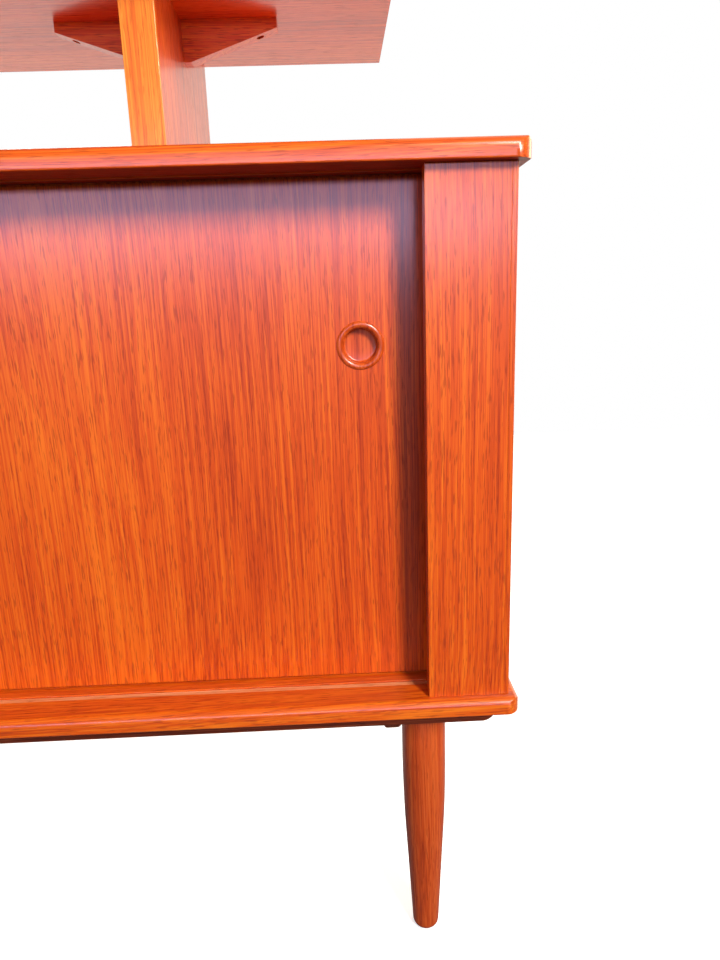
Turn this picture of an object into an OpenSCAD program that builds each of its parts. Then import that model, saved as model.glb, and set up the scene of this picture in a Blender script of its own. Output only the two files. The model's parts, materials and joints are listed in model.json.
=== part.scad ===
// Secretary desk: low case with sliding doors on turned legs, carrying on two
// uprights a cabinet with a fall front, a pigeonhole organiser and drawers.
// Units are millimetres. Origin: centre of the plan, at the floor.
// +X to the right, +Y to the back, +Z up.

/* [Case] */
// Overall width, over the rounded ends of the top board
base_w = 1208; // [1007:1:1450]
// Overall depth, over the rounded edges of the top board
base_d = 430; // [358:1:516]
// Clear height between the bottom board and the top board
case_h = 430; // [358:1:516]
// Thickness of the top board and of the bottom board
board_t = 15.4; // [15:0.1:18.4]
// Radius of both boards' upper edges
edge_r = 7; // [5:0.25:8]
// Radius of both boards' lower edges
low_edge_r = 1.5; // [1:0.1:3]
// Radius of both boards' corners, seen from above
corner_r = 14; // [10:0.5:17]
// Thickness of the side panels and the partition
panel_t = 18; // [15:0.5:20]
// Thickness of the back panels
back_t = 8; // [6:0.5:10]
// Thickness of the loose shelves
shelf_t = 16; // [14:0.5:20]
// How far the boards reach past the side panels
end_over = 9; // [8:0.5:14]
// How far the bottom board reaches in front of the stiles
bottom_over = 9.2; // [8:0.1:14]
// How far the top board reaches in front of the stiles
top_over = 11.6; // [8:0.1:14]
// How far the case stops short of the boards' back edge
back_in = 10; // [6:1:16]

/* [Stiles] */
// Width of each front stile
stile_w = 69; // [56:1:80]
// Thickness of the front stiles
stile_t = 16; // [14:0.5:20]
// Width of the solid lipping on a stile's outer edge
lip_w = 4.6; // [3:0.2:6]

/* [Sliding doors] */
// Thickness of the doors
door_t = 16; // [14:0.5:18]
// Thickness of the tongue that runs in the groove
tongue_t = 8; // [6:0.5:9]
// Distance from a door's face to its tongue
tongue_in = 3; // [2:0.5:4]
// Space between the stile and the front door
track_in = 3.7; // [3:0.1:6]
// Space between the front door and the rear door
door_gap = 7.9; // [6:0.1:10]
// How far a closed door reaches behind its stile
door_tuck = 20; // [12:1:26]
// How far each door reaches past the middle of the case
door_lap = 15; // [10:1:30]
// Depth of the groove in the bottom board
groove_low = 6; // [5:0.5:8]
// Depth of the groove in the top board
groove_high = 10; // [9:0.5:11]
// Thickness of the runner strip in a bottom groove
strip_t = 4.6; // [3:0.2:4.8]
// Clearance on each side of a sliding tongue
slide_gap = 0.2; // [0.1:0.05:0.4]

/* [Ring pulls] */
// Radius over the ring of a pull
pull_r = 20; // [17:0.5:24]
// Radius inside the ring of a pull
pull_in_r = 14.25; // [12:0.25:16]
// How far the ring stands out
pull_proud = 1.8; // [1:0.1:2.5]
// Depth that a pull is let into the wood
pull_depth = 10.5; // [8:0.5:12]
// Distance from a door's outer edge to the middle of its pull
pull_side = 67.8; // [55:0.1:90]
// Height of a door pull above the bottom board
pull_z = 299; // [200:1:340]

/* [Underframe] */
// Height from the floor to the underside of the bottom board
leg_h = 294.6; // [245:0.2:353]
// Largest radius of a leg
leg_r = 21.3; // [17.5:0.1:24]
// Taper of the lower leg on each side, in degrees
leg_taper = 2.95; // [2:0.05:3.2]
// Radius of the curve that makes the leg's belly
leg_curve = 1700; // [1400:10:2000]
// Distance from the end of the case to a front leg's middle
leg_in = 75.4; // [60:0.2:90]
// How much nearer the end of the case the rear legs stand
rear_leg_out = 21; // [0:1:24]
// Rounding of a leg's tip
tip_r = 8.5; // [6:0.5:10]
// Thickness of the long rails
rail_t = 20; // [17:0.5:24]
// Height of the long rails
rail_h = 29.8; // [25:0.1:36]
// Distance from the board's front edge to the front rail
rail_in = 41.6; // [34:0.2:50]
// Distance from the case's end to a rail's end
rail_end = 13.5; // [8:0.5:20]
// Thickness of the cross bearers
bearer_t = 16; // [13:0.5:19]
// Height of the cross bearers
bearer_h = 50.6; // [42:0.1:61]
// Space between a bearer and the front leg beside it
bearer_gap = 2.4; // [0.5:0.1:4]
// Radius of the rounded lower corners of rails and bearers
rail_r = 12; // [8:0.5:14]

/* [Uprights] */
// Height of the open space between the case and the cabinet
upright_h = 167.6; // [140:0.2:201]
// Thickness of the uprights
upright_t = 30.3; // [25:0.1:34]
// Depth of the uprights
upright_d = 256; // [213:1:270]
// Distance from the middle of the desk to the middle of an upright
upright_x = 299.5; // [250:0.5:360]
// Distance from the cabinet's back to the uprights
upright_in = 17; // [10:1:30]
// Length of a gusset bracket along the cabinet
bracket_l = 95.5; // [80:0.5:114]
// Height of a bracket beside the upright
bracket_h = 38.7; // [32:0.1:46]
// Height of a bracket at its far end
bracket_end = 9.1; // [7:0.1:11]
// Thickness of a bracket
bracket_t = 17.3; // [14:0.1:20]
// Length of the flat at a bracket's foot
bracket_flat = 7; // [4:0.5:10]
// Distance from an upright's back edge to the brackets' middle
bracket_y = 125.7; // [100:0.1:150]

/* [Cabinet] */
// Width of the upper cabinet
hutch_w = 1045; // [871:1:1180]
// Depth of the upper cabinet
hutch_d = 320; // [290:1:380]
// Height of the upper cabinet
hutch_h = 393; // [350:1:470]
// Thickness of the cabinet's boards
hutch_t = 18; // [15:0.5:20]
// Distance from the middle of the desk to the divider's left face
divider_x = 143; // [80:1:220]
// Gap around the fall front and the drawer fronts
front_gap = 0.8; // [0.6:0.1:1.5]

/* [Fall front fittings] */
// Length of a butt hinge
hinge_l = 60; // [50:1:76]
// Width of a hinge leaf
leaf_w = 22; // [18:0.5:26]
// Thickness of a hinge leaf
leaf_t = 1.6; // [1.2:0.1:2]
// Radius of the hinge knuckles
knuckle_r = 2.6; // [2.2:0.1:3]
// Radius of the hinge pins
pin_r = 1.2; // [1:0.1:1.4]
// Running clearance of pins in their holes
run_gap = 0.05; // [0.02:0.01:0.1]
// Distance from the hinge line to a stay's pivot and to its stud
stay_reach = 150; // [140:1:160]
// Angle between pivot and stud with the fall front closed
stay_angle = 30; // [28:1:34]
// Width of a stay's bar
stay_w = 12; // [10:0.5:13]
// Thickness of a stay's bar
stay_t = 2.5; // [2:0.1:3]
// Radius of the studs and pivot pins
stud_r = 2.5; // [2:0.1:3]
// Distance from the fall front's face to a stay's pivot
stay_off = 8; // [7.5:0.1:10]

/* [Organiser] */
// Depth of the organiser
org_d = 200; // [167:1:215]
// Height of the organiser
org_h = 240; // [210:1:280]
// Thickness of the organiser's boards
org_t = 8; // [6:0.5:10]
// Space beside the organiser for a stay
org_side = 14; // [12:0.5:20]
// Height of the small drawers' row
small_h = 62; // [52:1:74]

/* [Drawers] */
// Length of a drawer box behind its front
drawer_l = 267; // [230:1:280]
// Thickness of a drawer's sides
side_t = 11; // [9:0.5:13]
// Height of a drawer runner
runner_h = 8; // [6:0.5:10]
// Thickness of a drawer runner
runner_t = 5.5; // [4:0.5:6]

/* [Hidden] */
$fn = 96;

// Colours of the raw materials
teak = "#b9672f";
teak_dark = "#6e3418";
teak_pale = "#c98a62";
beech = "#d8b48a";
brass = "#c9a24a";
steel = "#8d9094";

// Heights of the case
z_floor = leg_h + board_t;
z_ceil = z_floor + case_h;
z_top = z_ceil + board_t;
z_hutch = z_top + upright_h;
z_desk = z_hutch + hutch_t;
z_lid = z_hutch + hutch_h - hutch_t;

// Widths and depths of the case
x_end = base_w / 2 - end_over;
x_open = x_end - stile_w;
y_front = -base_d / 2 + top_over;
y_case = y_front + stile_t;
y_back = base_d / 2 - back_in;
y_panel = y_back - back_t - slide_gap * 10;
bottom_d = base_d - top_over + bottom_over;

// Doors and their tracks
y_door1 = y_case + track_in;
y_door2 = y_door1 + door_t + door_gap;
y_return = y_door2 + door_t + track_in;
y_inner = y_return + track_in;
x_track = x_open + door_tuck;
door_side = 1;
door_w = x_track - door_side + door_lap;
tongue_low = z_floor - groove_low + strip_t + slide_gap;
tongue_high = z_ceil + groove_low;
door_clear = 1.5;

// Ring pull section
cup_floor = 2.6;
pull_body_r = pull_r - 2;
bead_r = (pull_r - pull_in_r) / 2;

// Shelves and their pins
shelf_z = z_floor + case_h * 0.5;
shelf_gap = 1;
shelf_pin_r = 3;
shelf_pin_in = 9;
shelf_pin_out = 8;
shelf_pin_y = 40;

// Underframe
glue_gap = 0.5;
rail_gap = 0.7;
y_rail = -base_d / 2 + rail_in;
leg_y = -(y_rail + rail_t + rail_gap + leg_r);
leg_x = base_w / 2 - leg_in;
curve_fn = 1440;
belly_z = leg_h * 0.7;
bend_z = belly_z - leg_curve * sin(leg_taper);
bend_r = leg_r - leg_curve * (1 - cos(leg_taper));
tip_side = bend_r - (bend_z - tip_r) * tan(leg_taper);
bolt_r = 4;
bolt_up = board_t * 0.7;
bolt_down = 42;

// Cabinet
x_hutch = hutch_w / 2;
x_in = x_hutch - hutch_t;
y_hback = y_back;
y_hfront = y_hback - hutch_d;
y_hpanel = y_hback - back_t - slide_gap * 10;
y_axis = y_hfront + hutch_t;
y_up_back = y_hback - upright_in;
y_up_front = y_up_back - upright_d;
y_bracket = y_up_back - bracket_y;
slope = atan((bracket_h - bracket_end) / (bracket_l - bracket_flat));
screw_at = 0.2;
sink_r = 4;
sink_d = 6;
head_r = 3.7;
head_h = 2.4;
shank_r = 2;
shank_l = 16;

// Fall front and stays
flap_x0 = -x_in + front_gap;
flap_x1 = divider_x - front_gap;
flap_z0 = z_desk + front_gap * 0.6;
flap_z1 = z_lid - front_gap;
flap_mid = (flap_x0 + flap_x1) / 2;
hinge_in = 90;
knuckles = 5;
knuckle_l = hinge_l / knuckles;
relief = 0.3;
pivot_tilt = asin(stay_off / stay_reach);
stud_tilt = pivot_tilt + stay_angle;
chord0 = 2 * stay_reach * sin(stay_angle / 2);
chord1 = 2 * stay_reach * sin(stay_angle / 2 + 45);
stay_slope = pivot_tilt + stay_angle / 2;
slot_r = stud_r + slide_gap;
slot_end = 1;
stay_x = 3;
lug_t = 2.6;
lug_gap = 0.3;
lug_base = 9;
plate_t = 1.6;
plate_h = 30;
stud_l = stay_x + stay_t + 3;
stud_cap_r = 4.2;
stud_cap_t = 1.6;
lock_w = 62;
lock_h = 36;
lock_t = 9;
lock_down = 8;
key_r = 2.5;
key_down = lock_down + lock_h / 2;
rose_r = 9;
rose_t = 1.4;
rose_hole = 3.4;
bow_r = 11;
bow_in = 6.8;
bow_t = 3;
key_out = 12;

// Organiser and its drawers
org_x0 = -x_in + org_side;
org_x1 = divider_x - org_side;
y_org = y_hpanel - org_d;
holes = 5;
thin_t = 6;
set_in = 5;
org_mid = (org_x0 + org_x1) / 2;
small_gap = 0.8;
small_wall = 6;
small_floor = 4;
small_front = 10;
knob_r = 6.5;
knob_l = 14;
knob_neck = 3.2;

// Drawer bank
bank_x0 = divider_x + hutch_t;
bank_x1 = x_in;
bank_n = 3;
face_h = (z_lid - z_desk - front_gap * (bank_n + 1)) / bank_n;
box_side = 1;
box_low = 8;
box_h = face_h - 24;
box_floor = 5;
box_back = 9;
groove_d = runner_t - box_side + 0.6;
groove_z = runner_h + 0.6;
runner_y0 = y_axis + 6;
runner_y1 = y_hpanel - 8;

// A block given by its low corner and its high corner
module block(lo, hi) {
    translate(lo)
        cube([hi[0] - lo[0], hi[1] - lo[1], hi[2] - lo[2]]);
}

// Flat outline with four round corners
module round_rect(a, b, r) {
    square([a - 2 * r, b], center = true);
    square([a, b - 2 * r], center = true);
    for (i = [-1, 1], j = [-1, 1])
        translate([i * (a / 2 - r), j * (b / 2 - r)])
            circle(r = r);
}

// Section of a board, standing on its lower face, with four rounded edges
module edge_section(w) {
    top_z = board_t - edge_r;
    translate([-w / 2, low_edge_r])
        square([w, top_z - low_edge_r]);
    translate([edge_r - w / 2, low_edge_r])
        square([w - 2 * edge_r, board_t - low_edge_r]);
    translate([low_edge_r - w / 2, 0])
        square([w - 2 * low_edge_r, top_z]);
    for (s = [-1, 1]) {
        translate([s * (w / 2 - edge_r), top_z])
            circle(r = edge_r);
        translate([s * (w / 2 - low_edge_r), low_edge_r])
            circle(r = low_edge_r);
    }
}

// Board with rounded edges all round, and with its corners rounded in plan
module round_board(w, d) {
    intersection() {
        linear_extrude(height = board_t)
            round_rect(w, d, corner_r);
        rotate([90, 0, 0])
            linear_extrude(height = d, center = true)
                edge_section(w);
        rotate([90, 0, 90])
            linear_extrude(height = w, center = true)
                edge_section(d);
    }
}

// Space of the groove for the door whose face is at y
module groove(y, z0, z1) {
    block([-x_track, y + tongue_in - slide_gap, z0],
          [x_track, y + tongue_in + tongue_t + slide_gap, z1]);
}

module base_top() {
    color(teak)
        difference() {
            translate([0, 0, z_ceil])
                round_board(base_w, base_d);
            groove(y_door1, z_ceil - 1, z_ceil + groove_high);
            groove(y_door2, z_ceil - 1, z_ceil + groove_high);
        }
}

module base_bottom() {
    color(teak)
        difference() {
            translate([0, (base_d - bottom_d) / 2, leg_h])
                round_board(base_w, bottom_d);
            groove(y_door1, z_floor - groove_low, z_floor + 1);
            groove(y_door2, z_floor - groove_low, z_floor + 1);
            bolts();
        }
}

// Side panel on the right, with the holes for its shelf pins
module side_panel() {
    difference() {
        block([x_end - panel_t, y_case, z_floor], [x_end, y_back, z_ceil]);
        pins();
    }
}

module side_panel_left() {
    color(teak)
        mirror([1, 0, 0])
            side_panel();
}

module side_panel_right() {
    color(teak)
        side_panel();
}

// Stile on the right, without its lipping
module stile() {
    block([x_open, y_front, z_floor], [x_end - lip_w, y_case, z_ceil]);
}

module stile_left() {
    color(teak)
        mirror([1, 0, 0])
            stile();
}

module stile_right() {
    color(teak)
        stile();
}

module stile_lippings() {
    color(teak_pale)
        for (s = [0, 1])
            mirror([s, 0, 0])
                block([x_end - lip_w, y_front, z_floor],
                      [x_end, y_case, z_ceil]);
}

module stile_returns() {
    color(teak)
        for (s = [0, 1])
            mirror([s, 0, 0])
                block([x_track, y_case, z_floor],
                      [x_end - panel_t, y_return, z_ceil]);
}

module base_back() {
    color(teak)
        block([panel_t - x_end, y_panel, z_floor],
              [x_end - panel_t, y_panel + back_t, z_ceil]);
}

module base_partition() {
    color(teak)
        difference() {
            block([-panel_t / 2, y_inner, z_floor],
                  [panel_t / 2, y_panel, z_ceil]);
            pins();
        }
}

module base_shelves() {
    color(teak)
        for (s = [0, 1])
            mirror([s, 0, 0])
                block([panel_t / 2 + shelf_gap, y_inner + shelf_gap, shelf_z],
                      [x_end - panel_t - shelf_gap,
                       y_panel - shelf_gap, shelf_z + shelf_t]);
}

// Shelf pins of both compartments
module pins() {
    for (s = [0, 1], x = [panel_t / 2, x_end - panel_t],
         y = [y_inner + shelf_pin_y, y_panel - shelf_pin_y])
        mirror([s, 0, 0])
            translate([x, y, shelf_z - shelf_pin_r])
                rotate([0, x > panel_t ? -90 : 90, 0])
                    translate([0, 0, -shelf_pin_out])
                        cylinder(r = shelf_pin_r,
                                 h = shelf_pin_out + shelf_pin_in);
}

module shelf_pins() {
    color(brass)
        pins();
}

module door_tracks() {
    color(teak_pale)
        for (y = [y_door1, y_door2])
            block([-x_track, y + tongue_in, z_floor - groove_low],
                  [x_track, y + tongue_in + tongue_t,
                   z_floor - groove_low + strip_t]);
}

// Door with its outer edge at the right, its tongues set in from its face
module door(y) {
    difference() {
        union() {
            block([-door_lap, y + tongue_in, tongue_low],
                  [door_w - door_lap, y + tongue_in + tongue_t, tongue_high]);
            block([-door_lap, y, z_floor + door_clear],
                  [door_w - door_lap, y + door_t, z_ceil - door_clear]);
        }
        door_pull_place(y)
            translate([0, 0, -pull_depth])
                cylinder(r = pull_body_r, h = pull_depth + 1);
    }
}

// Puts a pull's axis on a door
module door_pull_place(y) {
    translate([door_w - door_lap - pull_side, y, z_floor + pull_z])
        rotate([90, 0, 0])
            children();
}

// Turned ring pull: a cup with a rounded ring standing out of the face
module ring_pull() {
    rotate_extrude() {
        translate([pull_in_r, -pull_depth])
            square([pull_body_r - pull_in_r, pull_depth]);
        translate([0, -pull_depth])
            square([pull_body_r, cup_floor]);
        intersection() {
            translate([pull_r - bead_r, pull_proud - bead_r])
                circle(r = bead_r);
            square([pull_r * 2, pull_r]);
        }
    }
}

module door_left() {
    color(teak)
        mirror([1, 0, 0])
            door(y_door1);
}

module door_right() {
    color(teak)
        door(y_door2);
}

module door_pull_left() {
    color(teak_dark)
        mirror([1, 0, 0])
            door_pull_place(y_door1)
                ring_pull();
}

module door_pull_right() {
    color(teak_dark)
        door_pull_place(y_door2)
            ring_pull();
}

// Outline of a rail or a bearer, with its two lower corners rounded
module low_round(l, h) {
    translate([-l / 2, 0])
        square([l, h - rail_r]);
    translate([rail_r - l / 2, -rail_r])
        square([l - 2 * rail_r, h]);
    for (s = [-1, 1])
        translate([s * (l / 2 - rail_r), 0])
            circle(r = rail_r);
}

module rail(y) {
    translate([0, y + rail_t, leg_h - rail_h + rail_r])
        rotate([90, 0, 0])
            linear_extrude(height = rail_t)
                low_round(base_w - 2 * rail_end, rail_h);
}

module rail_front() {
    color(teak_dark)
        rail(y_rail);
}

module rail_rear() {
    color(teak_dark)
        rail(-y_rail - rail_t);
}

// Bearer with a half round underside and rounded lower corners
module bearer() {
    length = -2 * (y_rail + rail_t);
    intersection() {
        translate([-bearer_t / 2, 0, rail_r])
            rotate([90, 0, 90])
                linear_extrude(height = bearer_t)
                    low_round(length, bearer_h);
        translate([0, 0, bearer_t / 2])
            rotate([90, 0, 0])
                linear_extrude(height = length, center = true) {
                    circle(r = bearer_t / 2);
                    translate([-bearer_t / 2, 0])
                        square([bearer_t, bearer_h - bearer_t / 2]);
                }
    }
}

module bearers() {
    color(teak_dark)
        for (s = [0, 1])
            mirror([s, 0, 0])
                translate([leg_x - leg_r - bearer_gap - bearer_t / 2, 0,
                           leg_h - bearer_h])
                    bearer();
}

// Distance from the middle to the legs of the front (-1) or rear (1) pair
function pair_x(sy) = leg_x + (sy > 0 ? rear_leg_out : 0);

// Outline of half a leg: tip, cone, belly and straight top, each lapping
// over the next
module leg_half() {
    square([tip_side - tip_r, 2 * tip_r]);
    intersection() {
        translate([tip_side - tip_r, tip_r])
            circle(r = tip_r);
        square([leg_r, 2 * tip_r]);
    }
    polygon([[0, tip_r], [tip_side, tip_r], [bend_r, bend_z], [0, bend_z]]);
    intersection() {
        translate([leg_r - leg_curve, belly_z])
            circle(r = leg_curve, $fn = curve_fn);
        translate([0, bend_z - tip_r])
            square([leg_r, belly_z - bend_z + 2 * tip_r]);
    }
    translate([0, belly_z])
        square([leg_r, leg_h - belly_z]);
}

module leg(sx, sy) {
    difference() {
        translate([sx * pair_x(sy), sy * leg_y, 0])
            rotate_extrude()
                leg_half();
        bolts();
    }
}

module leg_front_left() {
    color(teak)
        leg(-1, -1);
}

module leg_front_right() {
    color(teak)
        leg(1, -1);
}

module leg_rear_left() {
    color(teak)
        leg(-1, 1);
}

module leg_rear_right() {
    color(teak)
        leg(1, 1);
}

// Bolts from the legs up into the bottom board
module bolts() {
    for (sx = [-1, 1], sy = [-1, 1])
        translate([sx * pair_x(sy), sy * leg_y, leg_h - bolt_down])
            cylinder(r = bolt_r, h = bolt_down + bolt_up);
}

module leg_bolts() {
    color(steel)
        bolts();
}

// Upright on the right, without its front lipping
module upright() {
    block([upright_x - upright_t / 2, y_up_front + lip_w, z_top],
          [upright_x + upright_t / 2, y_up_back, z_hutch]);
}

module upright_left() {
    color(teak)
        mirror([1, 0, 0])
            upright();
}

module upright_right() {
    color(teak)
        upright();
}

module upright_lippings() {
    color(teak_pale)
        for (s = [0, 1])
            mirror([s, 0, 0])
                block([upright_x - upright_t / 2, y_up_front, z_top],
                      [upright_x + upright_t / 2, y_up_front + lip_w, z_hutch]);
}

// Puts something on each of the four bracket seats
module each_bracket() {
    for (s = [0, 1], d = [0, 1])
        mirror([s, 0, 0])
            translate([upright_x, y_bracket, z_hutch])
                mirror([d, 0, 0])
                    translate([upright_t / 2, 0, 0])
                        children();
}

// Screw of a bracket, driven square to its sloping face
module one_screw() {
    translate([bracket_l - screw_at * (bracket_l - bracket_flat), 0,
               -bracket_end - screw_at * (bracket_h - bracket_end)])
        rotate([0, -slope, 0]) {
            translate([0, 0, sink_d - head_h])
                cylinder(r = head_r, h = head_h);
            translate([0, 0, sink_d - head_h])
                cylinder(r = shank_r, h = head_h + shank_l);
        }
}

// Bracket with its counterbored screw hole
module one_bracket() {
    difference() {
        rotate([90, 0, 0])
            linear_extrude(height = bracket_t, center = true)
                polygon([[0, 0], [0, -bracket_h], [bracket_flat, -bracket_h],
                         [bracket_l, -bracket_end], [bracket_l, 0]]);
        one_screw();
        translate([bracket_l - screw_at * (bracket_l - bracket_flat), 0,
                   -bracket_end - screw_at * (bracket_h - bracket_end)])
            rotate([0, -slope, 0])
                translate([0, 0, -sink_d])
                    cylinder(r = sink_r, h = 2 * sink_d);
    }
}

module brackets() {
    color(teak)
        each_bracket()
            one_bracket();
}

module bracket_screws() {
    color(steel)
        each_bracket()
            one_screw();
}

module hutch_bottom() {
    color(teak)
        difference() {
            union() {
                block([-x_hutch, y_axis, z_hutch], [x_hutch, y_hback, z_desk]);
                block([-x_hutch, y_hfront, z_hutch], [-x_in, y_axis, z_desk]);
                block([divider_x, y_hfront, z_hutch],
                      [x_hutch, y_axis, z_desk]);
            }
            each_bracket()
                one_screw();
            hinge_recess();
        }
}

module hutch_top() {
    color(teak)
        block([-x_hutch, y_hfront, z_lid],
              [x_hutch, y_hback, z_lid + hutch_t]);
}

module hutch_side_left() {
    color(teak)
        difference() {
            block([-x_hutch, y_hfront, z_desk], [-x_in, y_hback, z_lid]);
            studs();
        }
}

module hutch_side_right() {
    color(teak)
        block([x_in, y_hfront, z_desk], [x_hutch, y_hback, z_lid]);
}

module hutch_divider() {
    color(teak)
        difference() {
            block([divider_x, y_hfront, z_desk],
                  [divider_x + hutch_t, y_hpanel, z_lid]);
            studs();
        }
}

module hutch_back() {
    color(teak)
        block([-x_in, y_hpanel, z_desk], [x_in, y_hpanel + back_t, z_lid]);
}

module organiser_gables() {
    color(teak)
        for (x = [org_x0, org_x1 - org_t])
            block([x, y_org, z_desk], [x + org_t, y_hpanel, z_desk + org_h]);
}

module organiser_shelves() {
    color(teak)
        for (z = [z_desk + small_h, z_desk + org_h - org_t])
            block([org_x0 + org_t, y_org, z],
                  [org_x1 - org_t, y_hpanel, z + org_t]);
}

module organiser_dividers() {
    color(teak)
        for (i = [1:holes - 1])
            translate([org_x0 + org_t / 2 + i * (org_x1 - org_x0 - org_t) / holes,
                       0, 0])
                block([-thin_t / 2, y_org + set_in, z_desk + small_h + org_t],
                      [thin_t / 2, y_hpanel, z_desk + org_h - org_t]);
    color(teak)
        block([org_mid - thin_t / 2, y_org + set_in, z_desk],
              [org_mid + thin_t / 2, y_hpanel, z_desk + small_h]);
}

// Small drawer between two upright boards, with a turned knob
module small_drawer(x0, x1) {
    lo = [x0 + small_gap, y_org + set_in / 2, z_desk + small_gap];
    hi = [x1 - small_gap, y_hpanel - set_in, z_desk + small_h - small_gap];
    difference() {
        block(lo, hi);
        block([lo[0] + small_wall, lo[1] + small_front, lo[2] + small_floor],
              [hi[0] - small_wall, hi[1] - small_wall, hi[2] + 1]);
    }
    translate([(x0 + x1) / 2, lo[1], z_desk + small_h / 2])
        rotate([90, 0, 0]) {
            cylinder(r = knob_neck, h = knob_l - knob_r / 2);
            translate([0, 0, knob_l - knob_r])
                rotate_extrude()
                    intersection() {
                        circle(r = knob_r);
                        translate([0, -knob_r / 2])
                            square([knob_r, knob_r * 1.5]);
                    }
        }
}

module inner_drawer_left() {
    color(teak)
        small_drawer(org_x0 + org_t, org_mid - thin_t / 2);
}

module inner_drawer_right() {
    color(teak)
        small_drawer(org_mid + thin_t / 2, org_x1 - org_t);
}

// Puts something at the left end of each hinge, on the hinge line
module each_hinge() {
    for (x = [flap_x0 + hinge_in, flap_x1 - hinge_in - hinge_l])
        translate([x, y_axis, z_desk])
            children();
}

// Room for the knuckles, and for the leaf let into the desk floor
module hinge_recess() {
    each_hinge() {
        rotate([0, 90, 0])
            cylinder(r = knuckle_r + relief, h = hinge_l);
        translate([0, 0, -leaf_t])
            cube([hinge_l, leaf_w + knuckle_r, leaf_t + 1]);
    }
}

// Room for the knuckles, and for the leaf let into the fall front
module flap_recess() {
    each_hinge() {
        rotate([0, 90, 0])
            cylinder(r = knuckle_r + relief, h = hinge_l);
        translate([0, -leaf_t, 0])
            cube([hinge_l, leaf_t + 1, leaf_w + knuckle_r]);
    }
}

module hinge_cabinet_leaves() {
    color(brass)
        each_hinge() {
            translate([0, knuckle_r + relief, -leaf_t])
                cube([hinge_l, leaf_w - relief, leaf_t]);
            for (i = [0, 2, 4])
                translate([i * knuckle_l, 0, 0]) {
                    rotate([0, 90, 0])
                        cylinder(r = knuckle_r, h = knuckle_l - relief);
                    translate([0, 0, -leaf_t])
                        cube([knuckle_l - relief, knuckle_r + 1, leaf_t]);
                }
            rotate([0, 90, 0])
                cylinder(r = pin_r, h = hinge_l - relief);
        }
}

module hinge_flap_leaves() {
    color(brass)
        each_hinge()
            difference() {
                union() {
                    translate([0, -leaf_t, knuckle_r + relief])
                        cube([hinge_l, leaf_t, leaf_w - relief]);
                    for (i = [1, 3])
                        translate([i * knuckle_l, 0, 0]) {
                            rotate([0, 90, 0])
                                cylinder(r = knuckle_r, h = knuckle_l - relief);
                            translate([0, -leaf_t, 0])
                                cube([knuckle_l - relief, leaf_t, knuckle_r + 1]);
                        }
                }
                rotate([0, 90, 0])
                    cylinder(r = pin_r + run_gap, h = hinge_l);
            }
}

// The lock's height on the fall front
function lock_z() = flap_z1 - key_down;

module fall_front() {
    color(teak)
        difference() {
            block([flap_x0, y_hfront, flap_z0], [flap_x1, y_axis, flap_z1]);
            flap_recess();
            block([flap_mid - lock_w / 2, y_axis - lock_t,
                   flap_z1 - lock_down - lock_h],
                  [flap_mid + lock_w / 2, y_axis + 1, flap_z1 - lock_down]);
            translate([flap_mid, y_axis, lock_z()])
                rotate([90, 0, 0])
                    cylinder(r = rose_hole, h = hutch_t + 1);
        }
}

module lock_case() {
    color(brass)
        difference() {
            block([flap_mid - lock_w / 2, y_axis - lock_t,
                   flap_z1 - lock_down - lock_h],
                  [flap_mid + lock_w / 2, y_axis, flap_z1 - lock_down]);
            translate([flap_mid, y_axis - 1, lock_z()])
                rotate([90, 0, 0])
                    cylinder(r = key_r + run_gap, h = lock_t);
        }
    color(brass)
        translate([flap_mid, y_hfront, lock_z()])
            rotate([90, 0, 0])
                difference() {
                    cylinder(r = rose_r, h = rose_t);
                    translate([0, 0, -1])
                        cylinder(r = rose_hole, h = rose_t + 2);
                }
}

module key() {
    color(brass)
        translate([flap_mid, y_axis - 1 - glue_gap, lock_z()])
            rotate([90, 0, 0]) {
                cylinder(r = key_r, h = hutch_t + key_out);
                translate([0, 0, hutch_t + key_out + bow_in])
                    rotate([0, 90, 0])
                        difference() {
                            cylinder(r = bow_r, h = bow_t, center = true);
                            cylinder(r = bow_in, h = bow_t + 1, center = true);
                        }
            }
}

// Puts something at the foot of each stay wall, facing into the compartment
module each_wall() {
    translate([-x_in, y_axis, z_desk])
        children();
    translate([divider_x, y_axis, z_desk])
        mirror([1, 0, 0])
            children();
}

// Stud in the cabinet's wall, with a flat cap that keeps the stay on
module one_stud() {
    rotate([-stud_tilt, 0, 0])
        translate([0, 0, stay_reach])
            rotate([0, 90, 0]) {
                translate([0, 0, -hutch_t / 2])
                    cylinder(r = stud_r, h = hutch_t / 2 + stud_l);
                translate([0, 0, stud_l - stud_cap_t])
                    cylinder(r = stud_cap_r, h = stud_cap_t);
            }
}

module studs() {
    each_wall()
        one_stud();
}

module stay_studs() {
    color(brass)
        studs();
}

// Stay: a slotted bar, drawn with the fall front closed
module one_stay() {
    rotate([-pivot_tilt, 0, 0])
        translate([stay_x, 0, stay_reach])
            rotate([pivot_tilt - stay_slope, 0, 0])
                rotate([90, 0, 90])
                    linear_extrude(height = stay_t)
                        difference() {
                            union() {
                                circle(r = stay_w / 2);
                                translate([0, -stay_w / 2])
                                    square([chord1 + slot_end, stay_w]);
                                translate([chord1 + slot_end, 0])
                                    circle(r = stay_w / 2);
                            }
                            circle(r = stud_r + run_gap);
                            translate([chord0 - slot_end, 0])
                                circle(r = slot_r);
                            translate([chord0 - slot_end, -slot_r])
                                square([chord1 - chord0 + 2 * slot_end,
                                        2 * slot_r]);
                            translate([chord1 + slot_end, 0])
                                circle(r = slot_r);
                        }
}

module stay_left() {
    color(brass)
        translate([-x_in, y_axis, z_desk])
            one_stay();
}

module stay_right() {
    color(brass)
        translate([divider_x, y_axis, z_desk])
            mirror([1, 0, 0])
                one_stay();
}

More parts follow.
